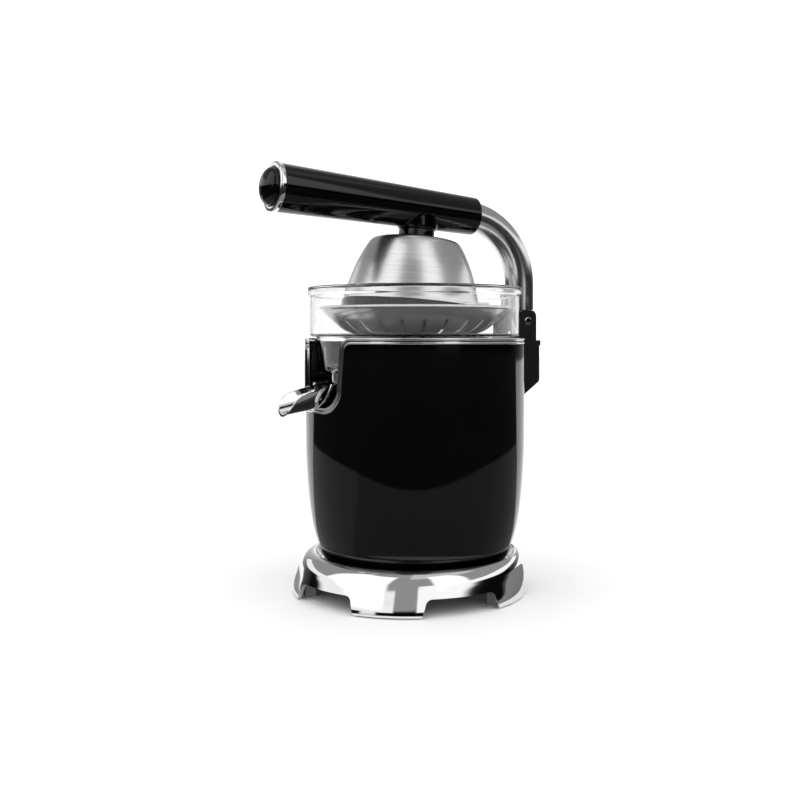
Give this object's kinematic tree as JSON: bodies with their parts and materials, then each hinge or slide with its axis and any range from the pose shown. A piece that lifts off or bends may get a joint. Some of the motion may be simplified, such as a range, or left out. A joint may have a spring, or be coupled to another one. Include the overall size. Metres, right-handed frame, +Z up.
{
  "type": "citrus press juicer",
  "caption": "Upright electric citrus press with a hinged lever arm, steel press dome, clear bowl, slotted strainer, tilting spout and footed chrome base.",
  "frame": {"origin": "on the table surface, under the middle of the whole object's outline", "axes": "+Z up; -Y towards the spout and the handle's end; +X to the right as seen from the spout looking back, the hinge pin's direction"},
  "size_m": [0.1678, 0.224, 0.3037],
  "materials": {
    "chrome": "mirror-bright chrome plating",
    "brushed": "stainless steel brushed round the dome",
    "satin_steel": "polished stainless tube with a faint lengthwise grain",
    "stainless": "bright pressed stainless sheet",
    "steel": "plain zinc-plated steel",
    "brass": "turned, oiled",
    "black_gloss": "piano-black moulded plastic",
    "dark_plastic": "fine-textured black plastic",
    "nylon": "natural nylon",
    "magnet": "sintered ferrite",
    "rubber": "matt black rubber",
    "clear_plastic": "clear moulded plastic"
  },
  "bodies": {
    "root": {"base_ring": "chrome", "foot_pad_1": "rubber", "foot_pad_2": "rubber", "foot_pad_3": "rubber", "foot_pad_4": "rubber", "foot_pad_5": "rubber", "bottom_cover": "dark_plastic", "cover_screw_1": "steel", "cover_screw_2": "steel", "cover_screw_3": "steel", "housing_screw_1": "steel", "housing_screw_2": "steel", "housing_screw_3": "steel", "housing_shell": "black_gloss", "rim_trim": "chrome", "bowl_seat": "dark_plastic", "spout_bay": "dark_plastic", "cord_gland": "rubber", "motor_can": "steel", "motor_end_cap": "dark_plastic", "motor_magnet_left": "magnet", "motor_magnet_right": "magnet", "motor_bearing_lower": "brass", "motor_bearing_upper": "brass", "gearbox_plate": "dark_plastic", "gearbox_cover": "dark_plastic", "idler_axle": "steel", "microswitch": "dark_plastic", "switch_bracket": "steel", "spindle_bush": "brass", "spindle_seal": "rubber", "bowl": "clear_plastic", "strainer": "stainless", "spout_pivot_pin": "steel", "hinge_bracket": "black_gloss", "hinge_pin": "chrome", "bracket_screw_left": "steel", "bracket_screw_right": "steel"},
    "motor_rotor": {"armature": "steel", "motor_pinion": "brass"},
    "idler": {"idler_gear": "nylon"},
    "output_drive": {"output_gear": "nylon", "return_spring": "steel"},
    "spindle_unit": {"spindle": "steel", "reamer_cone": "black_gloss"},
    "plunger": {"switch_plunger": "nylon"},
    "spout": {"spout_chute": "chrome", "spout_holder": "black_gloss", "drip_plug": "rubber"},
    "lever": {"arm_knuckle": "dark_plastic", "arm_tube": "satin_steel", "grip_sleeve": "black_gloss", "grip_ring": "chrome", "grip_cap": "black_gloss", "dome_collar": "black_gloss", "press_dome": "brushed", "dome_liner": "black_gloss", "dome_bolt": "steel"}
  },
  "joints": [
    {"name": "lever_hinge", "type": "hinge", "parent": "root", "child": "lever", "pos_m": [0, 0.097, 0.1957], "axis": [-1, 0, 0], "range_deg": [0, 80]},
    {"name": "spout_tilt", "type": "hinge", "parent": "root", "child": "spout", "pos_m": [0, -0.0415, 0.143], "axis": [-1, 0, 0], "range_deg": [0, 12]},
    {"name": "motor_spin", "type": "hinge", "parent": "root", "child": "motor_rotor", "pos_m": [-0.008, 0.04258, 0.06], "axis": [0, 0, 1], "continuous": true},
    {"name": "idler_spin", "type": "hinge", "parent": "root", "child": "idler", "pos_m": [-0.02643, 0.02968, 0.1], "axis": [0, 0, 1], "continuous": true},
    {"name": "output_spin", "type": "hinge", "parent": "root", "child": "output_drive", "pos_m": [0, 0.0075, 0.1], "axis": [0, 0, 1], "continuous": true},
    {"name": "spindle_press", "type": "slide", "parent": "output_drive", "child": "spindle_unit", "axis": [0, 0, 1], "range_m": [-0.003, 0], "stiffness_N_per_m": 2000, "springref_m": 0.004, "deforming": ["return_spring"]},
    {"name": "plunger_travel", "type": "slide", "parent": "root", "child": "plunger", "axis": [0, 0, 1], "range_m": [-0.003, 0]}
  ],
  "couplings": [
    {"joint": "idler_spin", "follows": "motor_spin", "ratio": -0.25},
    {"joint": "output_spin", "follows": "motor_spin", "ratio": 0.069444},
    {"joint": "plunger_travel", "follows": "spindle_press", "ratio": 1}
  ]
}
